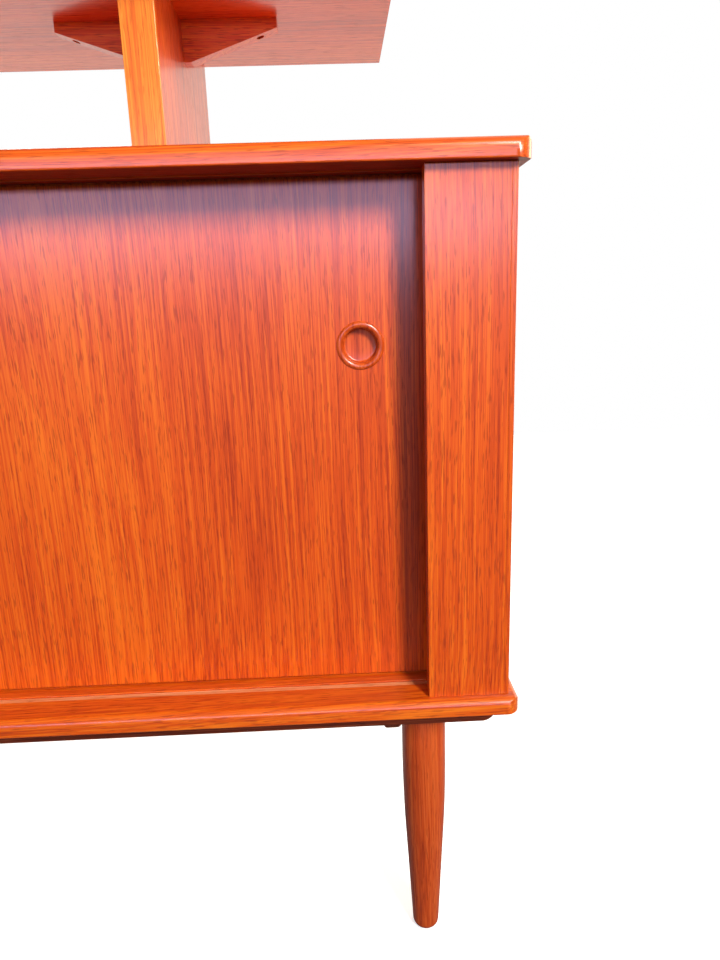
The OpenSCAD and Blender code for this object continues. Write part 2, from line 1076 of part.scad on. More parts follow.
// Bracket on the fall front that carries a stay's pivot
module one_stay_bracket() {
    lug_x = stay_x + stay_t + lug_gap;
    reach = stay_reach * cos(pivot_tilt);
    translate([lug_x, 0, reach - plate_h / 2])
        cube([lug_base, plate_t, plate_h]);
    translate([lug_x, 0, reach - stay_off])
        cube([lug_t, stay_off, 2 * stay_off]);
    translate([lug_x, stay_off, reach])
        rotate([0, 90, 0])
            cylinder(r = stay_off * 0.75, h = lug_t);
    translate([lug_x - stay_t - 2 * lug_gap, stay_off, reach])
        rotate([0, 90, 0])
            cylinder(r = stud_r, h = stay_t + 2 * lug_gap + lug_t / 2);
}

module stay_brackets() {
    color(brass)
        each_wall()
            one_stay_bracket();
}

// Low edge of a drawer front, counted from the bottom
function face_z(i) = z_desk + front_gap + i * (face_h + front_gap);

// Height of a drawer's runners
function run_z(i) = face_z(i) + box_low + box_h / 2;

module drawer_runners() {
    color(beech)
        for (i = [0:bank_n - 1]) {
            block([bank_x0, runner_y0, run_z(i) - runner_h / 2],
                  [bank_x0 + runner_t, runner_y1, run_z(i) + runner_h / 2]);
            block([bank_x1 - runner_t, runner_y0, run_z(i) - runner_h / 2],
                  [bank_x1, runner_y1, run_z(i) + runner_h / 2]);
        }
}

// Puts a pull's axis on a drawer front
module drawer_pull_place(i) {
    translate([(bank_x0 + bank_x1) / 2, y_hfront, face_z(i) + face_h / 2])
        rotate([90, 0, 0])
            children();
}

module drawer_front(i) {
    color(teak)
        difference() {
            block([bank_x0 + front_gap, y_hfront, face_z(i)],
                  [bank_x1 - front_gap, y_axis, face_z(i) + face_h]);
            drawer_pull_place(i)
                translate([0, 0, -pull_depth])
                    cylinder(r = pull_body_r, h = pull_depth + 1);
        }
}

module drawer_box(i) {
    lo = [bank_x0 + box_side, y_axis, face_z(i) + box_low];
    hi = [bank_x1 - box_side, y_axis + drawer_l, face_z(i) + box_low + box_h];
    color(beech)
        difference() {
            block(lo, hi);
            block([lo[0] + side_t, lo[1] - 1, lo[2] + box_floor],
                  [hi[0] - side_t, hi[1] - box_back, hi[2] + 1]);
            block([lo[0] - 1, lo[1] - 1, run_z(i) - groove_z / 2],
                  [lo[0] + groove_d, hi[1] + 1, run_z(i) + groove_z / 2]);
            block([hi[0] - groove_d, lo[1] - 1, run_z(i) - groove_z / 2],
                  [hi[0] + 1, hi[1] + 1, run_z(i) + groove_z / 2]);
        }
}

module drawer_pull(i) {
    color(teak_dark)
        drawer_pull_place(i)
            ring_pull();
}

module drawer_front_top() {
    drawer_front(2);
}

module drawer_front_mid() {
    drawer_front(1);
}

module drawer_front_low() {
    drawer_front(0);
}

module drawer_box_top() {
    drawer_box(2);
}

module drawer_box_mid() {
    drawer_box(1);
}

module drawer_box_low() {
    drawer_box(0);
}

module drawer_pull_top() {
    drawer_pull(2);
}

module drawer_pull_mid() {
    drawer_pull(1);
}

module drawer_pull_low() {
    drawer_pull(0);
}

base_top();
base_bottom();
side_panel_left();
side_panel_right();
stile_left();
stile_right();
stile_lippings();
stile_returns();
base_back();
base_partition();
base_shelves();
shelf_pins();
door_tracks();
door_left();
door_right();
door_pull_left();
door_pull_right();
rail_front();
rail_rear();
bearers();
leg_front_left();
leg_front_right();
leg_rear_left();
leg_rear_right();
leg_bolts();
upright_left();
upright_right();
upright_lippings();
brackets();
bracket_screws();
hutch_bottom();
hutch_top();
hutch_side_left();
hutch_side_right();
hutch_divider();
hutch_back();
organiser_gables();
organiser_shelves();
organiser_dividers();
inner_drawer_left();
inner_drawer_right();
fall_front();
hinge_cabinet_leaves();
hinge_flap_leaves();
stay_brackets();
stay_left();
stay_right();
stay_studs();
lock_case();
key();
drawer_runners();
drawer_front_top();
drawer_front_mid();
drawer_front_low();
drawer_box_top();
drawer_box_mid();
drawer_box_low();
drawer_pull_top();
drawer_pull_mid();
drawer_pull_low();
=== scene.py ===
# %% [markdown]
# # A teak secretary desk
# This lesson dresses a finished cabinet frame in Blender. The frame gives every
# board its real place and size, in metres. Our job is what a cabinet maker calls
# finishing: easing the edges, choosing the veneer, fitting the brass and setting
# up a small studio. Nothing here changes a dimension.

# %% Load the frame
import json
import math
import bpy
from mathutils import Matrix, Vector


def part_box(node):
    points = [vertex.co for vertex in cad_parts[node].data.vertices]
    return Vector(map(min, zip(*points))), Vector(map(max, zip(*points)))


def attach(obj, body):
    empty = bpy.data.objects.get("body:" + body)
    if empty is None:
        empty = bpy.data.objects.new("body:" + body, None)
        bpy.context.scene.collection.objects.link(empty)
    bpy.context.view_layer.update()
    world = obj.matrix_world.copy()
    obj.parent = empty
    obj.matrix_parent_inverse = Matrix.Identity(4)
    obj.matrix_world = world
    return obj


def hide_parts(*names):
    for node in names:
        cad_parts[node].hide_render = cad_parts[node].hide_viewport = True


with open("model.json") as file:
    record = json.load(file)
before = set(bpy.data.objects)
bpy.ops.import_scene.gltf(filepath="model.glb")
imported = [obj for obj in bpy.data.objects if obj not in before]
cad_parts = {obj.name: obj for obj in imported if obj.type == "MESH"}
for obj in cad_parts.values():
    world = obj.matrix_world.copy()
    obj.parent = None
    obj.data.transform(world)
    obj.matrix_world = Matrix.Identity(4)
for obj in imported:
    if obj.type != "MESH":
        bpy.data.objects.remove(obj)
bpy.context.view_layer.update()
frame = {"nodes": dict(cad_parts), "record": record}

import zlib

import bmesh
import bpy
from mathutils import Matrix, Vector

MM = 0.001
nodes = frame["nodes"]
record = frame["record"]
body_of_node = {n: b for b, names in record["behaviour"]["bodies"].items() for n in names}
slot_of_node = {s["node"]: s["material_slot"] for s in record["subparts"]}

# %% [markdown]
# ## A helper for shader trees
# A material is a small graph. Writing out every socket by hand hides the idea, so
# one helper adds a node, fills its inputs and hands the node back. An input given
# as a socket is linked, and anything else is set as a plain value.

# %% Shader helper
def add(tree, kind, inputs=None, **settings):
    """Adds a node, sets or links its inputs by name or number, returns the node."""
    node = tree.nodes.new(kind)
    for key, value in settings.items():
        setattr(node, key, value)
    for key, value in (inputs or {}).items():
        socket = node.inputs[key]
        if isinstance(value, bpy.types.NodeSocket):
            tree.links.new(value, socket)
        else:
            socket.default_value = value
    return node


def fresh_material(name):
    """An empty node material: its tree, its shader and its output."""
    material = bpy.data.materials.new(name)
    material.use_nodes = True
    tree = material.node_tree
    tree.nodes.clear()
    shader = tree.nodes.new("ShaderNodeBsdfPrincipled")
    output = tree.nodes.new("ShaderNodeOutputMaterial")
    tree.links.new(shader.outputs["BSDF"], output.inputs["Surface"])
    return material, tree, shader


def scaled(tree, source, scale, place=(0, 0, 0)):
    """Coordinates moved to a new part of the log, then stretched."""
    node = add(tree, "ShaderNodeMapping", {"Vector": source, "Location": place, "Scale": scale})
    return node.outputs[0]


def noise(tree, vector, detail=2.0, roughness=0.5, distortion=0.0):
    """Grey noise with one lump to a unit of its vector."""
    node = add(tree, "ShaderNodeTexNoise", {
        "Vector": vector, "Scale": 1.0, "Detail": detail, "Roughness": roughness, "Distortion": distortion})
    return node.outputs["Fac"]


def math_node(tree, operation, a, b=0.0, c=0.0, clamp=False):
    """One sum on numbers or sockets."""
    return add(tree, "ShaderNodeMath", {0: a, 1: b, 2: c}, operation=operation, use_clamp=clamp).outputs[0]


def ramp(tree, factor, stops):
    """A colour ramp from (place, colour) stops."""
    node = add(tree, "ShaderNodeValToRGB", {"Fac": factor})
    elements = node.color_ramp.elements
    while len(elements) < len(stops):
        elements.new(0.5)
    for element, (place, colour) in zip(elements, stops):
        element.position = place
        element.color = (*colour, 1.0) if len(colour) == 3 else colour
    return node.outputs["Color"]


def mix(tree, factor, a, b, blend="MIX"):
    """Two colours mixed."""
    node = add(tree, "ShaderNodeMix", {0: factor, 6: a, 7: b}, data_type="RGBA", blend_type=blend)
    return node.outputs[2]


def shade(colour):
    """A colour written as 0 to 255, turned into the linear light that shaders use."""
    return tuple(((c / 255 + 0.055) / 1.055) ** 2.4 if c > 10 else c / 255 / 12.92 for c in colour)


print("helpers ready")

# %% [markdown]
# ## Teak
# Sliced teak has three things at three scales. Wide bands of light and dark run
# the length of the board. Between them lie finer lines, from several millimetres
# apart down to about one, that wander together. On top sit the open pores: dark
# dashes, well under a millimetre wide and a few millimetres long, with some pale
# flecks among them. Each comes from a noise whose space is squeezed across the
# grain and stretched along it. A printed sheet of wood could be wrapped round the
# boards instead, but it would smear on the edges. Noise in object space runs right
# through the board, as real grain does. Every piece takes its own place in the
# log, so that no two have the same figure.

# %% The teak recipe
GRAIN = {"X": 0, "Y": 1, "Z": 2}
# Each layer: lumps to a metre across the grain, lumps to a metre along it
SWAY, BAND, LINE = (3.0, 1.1), (8.0, 0.30), (150.0, 0.8)
FINE, HAIR, PORE, FLECK = (460.0, 3.0), (1100.0, 10.0), (1000.0, 62.0), (700.0, 30.0)
FIGURE = (4.2, 0.42)
TEAK = {
    "veneer": ((160, 46, 2), (208, 76, 4), (230, 108, 14)),
    "solid": ((174, 54, 3), (214, 84, 6), (234, 120, 20)),
    "pale": ((206, 92, 14), (232, 126, 26), (244, 156, 50)),
    # The dark tone is painted shade: rails and bearers sit in the shade under the bottom board
    "dark": ((88, 32, 14), (126, 54, 28), (150, 78, 44)),
    # The underside tone is painted shade: darker wood for the shaded underside of the top board
    "underside_shade": ((122, 26, 4), (154, 42, 8), (178, 62, 16)),
    "turned": ((142, 42, 6), (192, 70, 16), (214, 96, 34)),
    "runner": ((188, 104, 62), (230, 146, 96), (240, 172, 124)),
    "beech": ((176, 112, 62), (212, 154, 98), (232, 182, 128)),
}
# How much each layer of the figure counts
BAND_SHARE, LINE_SHARE, FINE_SHARE, HAIR_SHARE, RING_SHARE = 0.95, 0.55, 1.05, 0.8, 0.04
TOTAL_SHARE = BAND_SHARE + LINE_SHARE + FINE_SHARE + HAIR_SHARE
# Metres over which the grain wanders sideways, and radians of ring to a unit of the figure's noise
SWAY_PUSH, RING_SPREAD = 0.045, 150.0
# Where on the ramp the dark, middle and light tones sit
TONE_PLACES = (0.12, 0.50, 0.88)
# Where in their noise the pores and the pale flecks begin and are full, and how strongly they show
BLACK, FULL = (0, 0, 0), (1, 1, 1)
PORE_FROM, PORE_TO, PORE_DEPTH, PORE_SHADE = 0.58, 0.66, 0.48, 0.62
FLECK_FROM, FLECK_TO, FLECK_DEPTH = 0.63, 0.74, 0.2
# Bevelled edges: how far their colour fades to the light tone as a painted highlight, and how much smoother
# they are
BEVEL_HIGHLIGHT, BEVEL_POLISH = 0.22, 0.05
# Roughness added by pores and lines
PORE_ROUGH, LINE_ROUGH = 0.20, 0.12
# The grain's bump: its strength, its full height in metres, and how high fine lines stand beside pores
GRAIN_BUMP, GRAIN_RELIEF, FINE_RISE = 0.20, 0.0004, 0.35
# The lacquer is a clear coat over the wood. Woods that carry hardly any of it get a thin one
WOOD_IOR, WOOD_SPECULAR = 1.45, 0.2
COAT_ROUGH, COAT_BEVEL, THIN_COAT = 0.22, 0.19, 0.2
RAW = ("dark", "underside_shade", "runner", "beech")
wood_cache = {}


def stretched(axis, across, along):
    """A scale that is wide across the grain and long along it."""
    scale = [across] * 3
    scale[GRAIN[axis]] = along
    return tuple(scale)


def wood(tone, axis, seed, worn=False, gloss=0.42, pores=1.0):
    """Lacquered wood with its grain along X, Y or Z."""
    key = (tone, axis, seed, worn, gloss, pores)
    if key in wood_cache:
        return wood_cache[key]
    dark, middle, light = (shade(c) for c in TEAK[tone])
    name = f"{tone}_{axis.lower()}_{seed}" + ("_worn" if worn else "")
    material, tree, shader = fresh_material(name)
    place = tuple((zlib.crc32(f"{seed}{k}".encode()) % 1000) / 37.0 for k in "xyz")
    spot = add(tree, "ShaderNodeTexCoord").outputs["Object"]
    log = add(tree, "ShaderNodeMapping", {"Vector": spot, "Location": place}).outputs[0]
    sway = noise(tree, scaled(tree, log, stretched(axis, *SWAY)), 2.0)
    shift = math_node(tree, "MULTIPLY_ADD", sway, SWAY_PUSH, -SWAY_PUSH / 2)
    push = add(tree, "ShaderNodeCombineXYZ", {0: shift, 1: shift, 2: shift}).outputs[0]
    grain = add(tree, "ShaderNodeVectorMath", {0: log, 1: push}, operation="ADD").outputs[0]

    def layer(squeeze, detail, roughness=0.5):
        """One layer of the figure, from its squeeze across and along the grain."""
        return noise(tree, scaled(tree, grain, stretched(axis, *squeeze)), detail, roughness)

    band, line = layer(BAND, 2.0), layer(LINE, 3.0, 0.62)
    fine, hair = layer(FINE, 2.0, 0.6), layer(HAIR, 1.0)
    ring = math_node(tree, "SINE", math_node(tree, "MULTIPLY", layer(FIGURE, 1.0, 0.4), RING_SPREAD))
    pore = ramp(tree, layer(PORE, 1.0), [(PORE_FROM, BLACK), (PORE_TO, FULL)])
    fleck = ramp(tree, layer(FLECK, 1.0), [(FLECK_FROM, BLACK), (FLECK_TO, FULL)])
    tone_sum = math_node(tree, "MULTIPLY_ADD", band, BAND_SHARE, 0.5 - 0.5 * TOTAL_SHARE)
    tone_sum = math_node(tree, "MULTIPLY_ADD", line, LINE_SHARE, tone_sum)
    tone_sum = math_node(tree, "MULTIPLY_ADD", fine, FINE_SHARE, tone_sum)
    tone_sum = math_node(tree, "MULTIPLY_ADD", hair, HAIR_SHARE, tone_sum)
    tone_sum = math_node(tree, "MULTIPLY_ADD", ring, RING_SHARE, tone_sum, clamp=True)
    colour = ramp(tree, tone_sum, list(zip(TONE_PLACES, (dark, middle, light))))
    colour = mix(tree, math_node(tree, "MULTIPLY", fleck, FLECK_DEPTH), colour, (*light, 1))
    groove = math_node(tree, "MULTIPLY", pore, PORE_DEPTH * pores)
    colour = mix(tree, groove, colour, (*(c * PORE_SHADE for c in dark), 1))
    # Bevels fade towards the light tone: a painted highlight along the edges
    if worn:
        colour = mix(tree, BEVEL_HIGHLIGHT, colour, (*light, 1))
    tree.links.new(colour, shader.inputs["Base Color"])
    rough = math_node(tree, "MULTIPLY_ADD", pore, PORE_ROUGH, gloss - (BEVEL_POLISH if worn else 0.0))
    rough = math_node(tree, "MULTIPLY_ADD", line, LINE_ROUGH, rough)
    tree.links.new(rough, shader.inputs["Roughness"])
    height = math_node(tree, "MULTIPLY_ADD", pore, -1.0, math_node(tree, "MULTIPLY", fine, FINE_RISE))
    bump = add(tree, "ShaderNodeBump", {
        "Height": height, "Strength": GRAIN_BUMP, "Distance": GRAIN_RELIEF})
    tree.links.new(bump.outputs[0], shader.inputs["Normal"])
    shader.inputs["IOR"].default_value = WOOD_IOR
    shader.inputs["Coat Weight"].default_value = THIN_COAT if tone in RAW else 1.0
    shader.inputs["Coat Roughness"].default_value = COAT_BEVEL if worn else COAT_ROUGH
    shader.inputs["Specular IOR Level"].default_value = WOOD_SPECULAR
    wood_cache[key] = material
    return material


print("wood recipe:", ", ".join(TEAK))

# %% [markdown]
# ## Metal
# The fittings are brass that has been handled: warm, a little brown in some places
# and brighter in others. A cloudy noise moves both colour and roughness, and a finer
# one, stretched along the bar, stands for the marks of the file.

# %% Brass and steel
# Lumps to a metre in the clouds, and in the file marks across and along the bar
CLOUDS, FILE_MARKS = 38.0, (1600.0, 60.0)
# Where in the clouds the dull tone ends and the bright one begins
DULL_TO, BRIGHT_FROM = 0.32, 0.62
# How far clouds and marks move the roughness, and the marks' bump: its strength and height in metres
CLOUD_ROUGH, MARK_ROUGH = 0.16, 0.14
MARK_BUMP, MARK_RELIEF = 0.12, 0.0002


def metal(name, bright, dull, rough, axis="Z"):
    """Handled metal with file marks along an axis."""
    material, tree, shader = fresh_material(name)
    spot = add(tree, "ShaderNodeTexCoord").outputs["Object"]
    cloud = noise(tree, scaled(tree, spot, (CLOUDS, CLOUDS, CLOUDS)), 4.0, 0.6)
    marks = noise(tree, scaled(tree, spot, stretched(axis, *FILE_MARKS)), 2.0, 0.5)
    colour = ramp(tree, cloud, [(DULL_TO, shade(dull)), (BRIGHT_FROM, shade(bright))])
    tree.links.new(colour, shader.inputs["Base Color"])
    level = math_node(tree, "MULTIPLY_ADD", cloud, -CLOUD_ROUGH, rough + CLOUD_ROUGH / 2)
    level = math_node(tree, "MULTIPLY_ADD", marks, MARK_ROUGH, level)
    tree.links.new(level, shader.inputs["Roughness"])
    bump = add(tree, "ShaderNodeBump", {"Height": marks, "Strength": MARK_BUMP, "Distance": MARK_RELIEF})
    tree.links.new(bump.outputs[0], shader.inputs["Normal"])
    shader.inputs["Metallic"].default_value = 1.0
    return material


brass = metal("brass_handled", (226, 184, 104), (168, 122, 58), 0.26)
steel = metal("steel_blued", (126, 122, 118), (62, 58, 56), 0.38)
print("metals:", brass.name, steel.name)

# %% [markdown]
# ## From frame to furniture: eased boards
# The frame's boards have corners that are mathematically sharp, and a sharp corner
# never catches the light. A maker runs sandpaper along every edge. We copy the
# mesh, join its loose triangles, melt the flat ones together, and let a Bevel
# modifier round what is left. The frame's own mesh stays untouched, and is hidden
# behind the copy. The bevel's faces get a second material, a shade lighter and
# smoother: the lighter colour is a painted highlight along the edges.

# %% Helpers for pieces
# Corners closer than WELD metres are one, and faces closer than FLAT degrees are one face
WELD, FLAT = 0.00001, 0.4
BEVEL_STEPS, BEVEL_FROM = 3, 40


def finish_piece(obj, node_names, body=None):
    """Gives a piece its body and hides the frame nodes it stands for."""
    first = node_names[0]
    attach(obj, body or body_of_node[first])
    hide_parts(*node_names)
    return obj


def link_mesh(name, mesh):
    """Puts a mesh in the scene as an object at the origin."""
    obj = bpy.data.objects.new(name, mesh)
    bpy.context.scene.collection.objects.link(obj)
    return obj


def merged_copy(node):
    """The node's mesh as whole faces in place of loose triangles."""
    bm = bmesh.new()
    bm.from_mesh(nodes[node].data)
    bmesh.ops.remove_doubles(bm, verts=bm.verts, dist=WELD)
    bmesh.ops.dissolve_limit(bm, angle_limit=math.radians(FLAT), verts=bm.verts, edges=bm.edges)
    mesh = bpy.data.meshes.new(node + "_mesh")
    bm.to_mesh(mesh)
    bm.free()
    mesh.materials.clear()
    return mesh


def smooth(mesh, angle=32):
    """Smooth shading, broken at edges sharper than the angle."""
    mesh.shade_smooth()
    mesh.set_sharp_from_angle(angle=math.radians(angle))


def eased(node, ease, tone, axis, seed, underside_shade=None):
    """A copy of a frame node with rounded edges, real wood, bevels lightened as painted highlight, and maybe
    an underside darkened as painted shade.
    """
    mesh = merged_copy(node)
    mesh.materials.append(wood(tone, axis, seed))
    # The bevels' material is lighter, a painted highlight along the edges
    mesh.materials.append(wood(tone, axis, seed, worn=True))
    # Downward faces take the darker underside tone: painted shade
    if underside_shade:
        mesh.materials.append(wood(underside_shade, axis, seed, gloss=0.5))
        for face in mesh.polygons:
            if face.normal.z < -0.9:
                face.material_index = 2
    smooth(mesh)
    obj = link_mesh(node + "_eased", mesh)
    bevel = obj.modifiers.new("eased edges", "BEVEL")
    bevel.width = ease * MM
    bevel.segments = BEVEL_STEPS
    bevel.limit_method = "ANGLE"
    bevel.angle_limit = math.radians(BEVEL_FROM)
    bevel.material = 1
    # Large faces decide the shading, so that flat boards shade flat right up to a hole
    weigh = obj.modifiers.new("flat faces first", "WEIGHTED_NORMAL")
    weigh.mode = "FACE_AREA"
    weigh.weight = 100
    weigh.keep_sharp = True
    return finish_piece(obj, [node])


print("piece helpers ready")

# %% [markdown]
# ## The case
# Boards run with the grain along their length: left to right in the top and the
# bottom, upright in the doors, stiles and sides. That is strength as much as
# looks. The stiles are veneered, and a narrow strip of solid teak, the lipping,
# protects their outer edge.

# %% Case boards
# Each row: the node, how far its edges are eased in millimetres, its tone, its grain, its seed
EDGE = 0.7
CASE = [
    ("base_top", 0.35, "solid", "X", 11), ("base_bottom", 0.35, "solid", "X", 12),
    ("side_panel_left", EDGE, "veneer", "Z", 13), ("side_panel_right", EDGE, "veneer", "Z", 14),
    ("stile_left", 0.25, "veneer", "Z", 15), ("stile_right", 0.25, "veneer", "Z", 16),
    ("stile_lippings", 0.5, "solid", "Z", 17), ("stile_returns", EDGE, "veneer", "Z", 18),
    ("base_back", 0.4, "veneer", "X", 19), ("base_partition", EDGE, "veneer", "Z", 20),
    ("base_shelves", EDGE, "veneer", "X", 21),
    ("door_left", EDGE, "veneer", "Z", 22), ("door_right", EDGE, "veneer", "Z", 23),
    # Rails and bearers take the dark tone, painted shade for their place under the bottom board
    ("rail_front", EDGE, "dark", "X", 24), ("rail_rear", EDGE, "dark", "X", 25),
    ("bearers", EDGE, "dark", "Y", 26),
    ("door_tracks", 0.3, "runner", "X", 27),
]
# The top board's downward faces are darkened with the underside tone as painted shade
for node, ease, tone, axis, seed in CASE:
    eased(node, ease, tone, axis, seed, underside_shade="underside_shade" if node == "base_top" else None)
print("case:", len(CASE), "pieces")

# %% [markdown]
# ## Uprights and upper cabinet
# The two uprights are boards stood on end, lipped in solid teak at the front.
# Small gussets stiffen their joint with the cabinet. Inside the cabinet the
# drawer boxes are beech: teak is kept for what shows.

# %% Cabinet boards
CABINET = [
    ("upright_left", 0.25, "veneer", "Z", 31), ("upright_right", 0.25, "veneer", "Z", 32),
    ("upright_lippings", 0.5, "pale", "Z", 33), ("brackets", 0.4, "solid", "X", 34),
    ("hutch_bottom", 0.5, "veneer", "X", 35), ("hutch_top", 0.9, "veneer", "X", 36),
    ("hutch_side_left", EDGE, "veneer", "Z", 37), ("hutch_side_right", EDGE, "veneer", "Z", 38),
    ("hutch_divider", EDGE, "veneer", "Z", 39), ("hutch_back", 0.4, "veneer", "X", 40),
    ("organiser_gables", 0.5, "solid", "Z", 41), ("organiser_shelves", 0.5, "solid", "X", 42),
    ("organiser_dividers", 0.5, "solid", "Z", 43),
    ("inner_drawer_left", 0.5, "solid", "X", 44), ("inner_drawer_right", 0.5, "solid", "X", 45),
    ("fall_front", 0.9, "veneer", "X", 46),
    ("drawer_front_top", 0.9, "veneer", "X", 47), ("drawer_front_mid", 0.9, "veneer", "X", 48),
    ("drawer_front_low", 0.9, "veneer", "X", 49),
    ("drawer_runners", 0.5, "beech", "Y", 50),
    ("drawer_box_top", 0.6, "beech", "Y", 51), ("drawer_box_mid", 0.6, "beech", "Y", 52),
    ("drawer_box_low", 0.6, "beech", "Y", 53),
]
for node, ease, tone, axis, seed in CABINET:
    eased(node, ease, tone, axis, seed)
print("cabinet:", len(CABINET), "pieces")

# %% [markdown]
# ## Turned pieces
# Legs and ring pulls come off a lathe, so we make them the same way: draw half
# the outline, then sweep it round an axis. Blender has a Screw modifier for this,
# but a few lines of mesh code give exact control of the closed poles and of the
# number of steps.

# %% The lathe
def lathe(name, outline, place, axis="Z", steps=96):
    """Sweeps (radius, height) points round an axis through a place."""
    turn = {"Z": Matrix.Identity(4), "-Y": Matrix.Rotation(math.radians(90), 4, "X")}[axis]
    bm = bmesh.new()
    rings = []
    for radius, height in outline:
        if radius < 1e-7:
            rings.append([bm.verts.new((0, 0, height))])
            continue
        angles = [2 * math.pi * i / steps for i in range(steps)]
        rings.append([bm.verts.new((radius * math.cos(a), radius * math.sin(a), height)) for a in angles])
    for low, high in zip(rings, rings[1:]):
        for i in range(steps):
            j = (i + 1) % steps
            corners = [low[i % len(low)], low[j % len(low)], high[j % len(high)], high[i % len(high)]]
            unique = list(dict.fromkeys(corners))
            if len(unique) > 2:
                bm.faces.new(unique)
    bmesh.ops.transform(bm, matrix=Matrix.Translation(place) @ turn, verts=bm.verts)
    bmesh.ops.recalc_face_normals(bm, faces=bm.faces)
    mesh = bpy.data.meshes.new(name + "_mesh")
    bm.to_mesh(mesh)
    bm.free()
    smooth(mesh, 50)
    return link_mesh(name, mesh)


def arc(centre, radius, start, end, steps=10):
    """Points on an arc, angles in degrees."""
    turns = [math.radians(start + (end - start) * i / steps) for i in range(steps + 1)]
    return [(centre[0] + radius * math.cos(t), centre[1] + radius * math.sin(t)) for t in turns]


print("lathe ready")

# %% [markdown]
# ## Legs
# The leg is a long cone that swells into a faint belly and ends in a soft tip.
# Its outline is one straight line that runs tangent into one large arc, so that
# no ridge shows where they meet.

# %% Turn the legs
BELLY_RADIUS = 1.7
TAPER = math.radians(2.95)
TIP = 8.5 * MM
BELLY_SHARE, TOP_EDGE = 0.7, 0.6 * MM


def leg_outline(radius, height):
    """Half outline of a leg, from the foot up."""
    belly = height * BELLY_SHARE
    bend = belly - BELLY_RADIUS * math.sin(TAPER)
    bend_radius = radius - BELLY_RADIUS * (1 - math.cos(TAPER))
    tip_side = bend_radius - (bend - TIP) * math.tan(TAPER)
    points = [(0, 0)] + arc((tip_side - TIP, TIP), TIP, -90, 0, 12)
    points += [(tip_side + (bend_radius - tip_side) * t, TIP + (bend - TIP) * t) for t in (0.25, 0.5, 0.75)]
    curve = arc((radius - BELLY_RADIUS, belly), BELLY_RADIUS, -math.degrees(TAPER), 0, 16)
    return points + curve + [(radius, height - TOP_EDGE), (radius - TOP_EDGE, height), (0, height)]


for number, node in enumerate(["leg_front_left", "leg_front_right", "leg_rear_left", "leg_rear_right"]):
    low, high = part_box(node)
    middle = (low + high) / 2
    outline = leg_outline((high.x - low.x) / 2, high.z - low.z)
    leg = lathe(node + "_turned", outline, (middle.x, middle.y, low.z))
    leg.data.materials.append(wood("turned", "Z", 60 + number, gloss=0.40, pores=0.7))
    finish_piece(leg, [node])
print("legs: 4, radius", round((high.x - low.x) / 2 / MM, 1), "mm")

# %% [markdown]
# ## Ring pulls
# Each pull is a shallow cup let into the wood, with a rounded ring standing
# 1.8 mm proud. The cup's floor is turned flat and meets the wall in a small
# hollow, which is where dust and polish gather.

# %% Turn the pulls
PULL_RADIUS, PULL_IN = 20.0 * MM, 14.25 * MM
PULL_PROUD = 1.8 * MM
CUP_FLOOR = 2.6 * MM


def pull_outline(depth, radius):
    """Half outline of a pull: out along its back, over the ring, into the cup."""
    body = radius - 2 * MM
    bead = (radius - PULL_IN) / 2
    centre = (radius - bead, PULL_PROUD - bead)
    floor = CUP_FLOOR - depth
    hollow = 2.2 * MM
    over = arc(centre, bead, 22.5, 180, 22)
    down = arc((PULL_IN - hollow, floor + hollow), hollow, 0, -90, 8)
    return ([(0, -depth), (body, -depth), (body, -0.2 * MM), (centre[0] + bead * 0.9, 0)] + over + down
            + [(PULL_IN * 0.4, floor - 0.1 * MM), (0, floor - 0.15 * MM)])


for number, node in enumerate(n for n in nodes if "pull" in n):
    low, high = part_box(node)
    middle = (low + high) / 2
    depth = high.y - low.y - PULL_PROUD
    place = (middle.x, high.y - depth, middle.z)
    pull = lathe(node + "_turned", pull_outline(depth, PULL_RADIUS), place, "-Y")
    pull.data.materials.append(wood("turned", "Z", 70 + number, gloss=0.30, pores=0.8))
    finish_piece(pull, [node])
print("pulls:", number + 1)

# %% [markdown]
# ## Brass
# The hinges, stays, lock, pins, bolts and bracket screws are right as they come
# from the frame, so they keep their meshes and only change material.

# %% Brass and steel on the frame's own pieces
for node, obj in nodes.items():
    kind = slot_of_node[node]
    if kind in ("brass", "steel"):
        obj.data.materials.clear()
        obj.data.materials.append(brass if kind == "brass" else steel)
print("metal nodes:", sum(slot_of_node[n] in ("brass", "steel") for n in nodes))

# %% [markdown]
# ## Screws by rule
# Screws come in rows: three to a hinge leaf, eight or nine along each long edge of
# a back panel. That is a job for Geometry Nodes. The tree below lays out groups of
# points, sets a slotted head on each, faces it the right way and gives it its own
# turn of the screwdriver. The same tree serves every row. Only the numbers change.

# %% Grow the screws
HEAD_RADIUS, HEAD_HEIGHT = 2.9 * MM, 0.5 * MM
# The head's top and its slot, as shares of the head's radius, and the slot's middle as a share of its height
HEAD_TOP, SLOT_LENGTH, SLOT_WIDTH, SLOT_RISE = 0.78, 2.4, 0.34, 0.95
HEAD_SIDES = 28
SINK = 0.05 * MM
INPUTS = [("Start", "NodeSocketVector"), ("Groups", "NodeSocketInt"), ("Group Step", "NodeSocketVector"),
          ("Per Row", "NodeSocketInt"), ("Row Step", "NodeSocketVector"), ("Facing", "NodeSocketVector"),
          ("Head Radius", "NodeSocketFloat"), ("Head Height", "NodeSocketFloat"), ("Seed", "NodeSocketInt"),
          ("Material", "NodeSocketMaterial")]
UPWARD, BACKWARD = (0.0, 0.0, 0.0), (math.radians(-90), 0.0, 0.0)


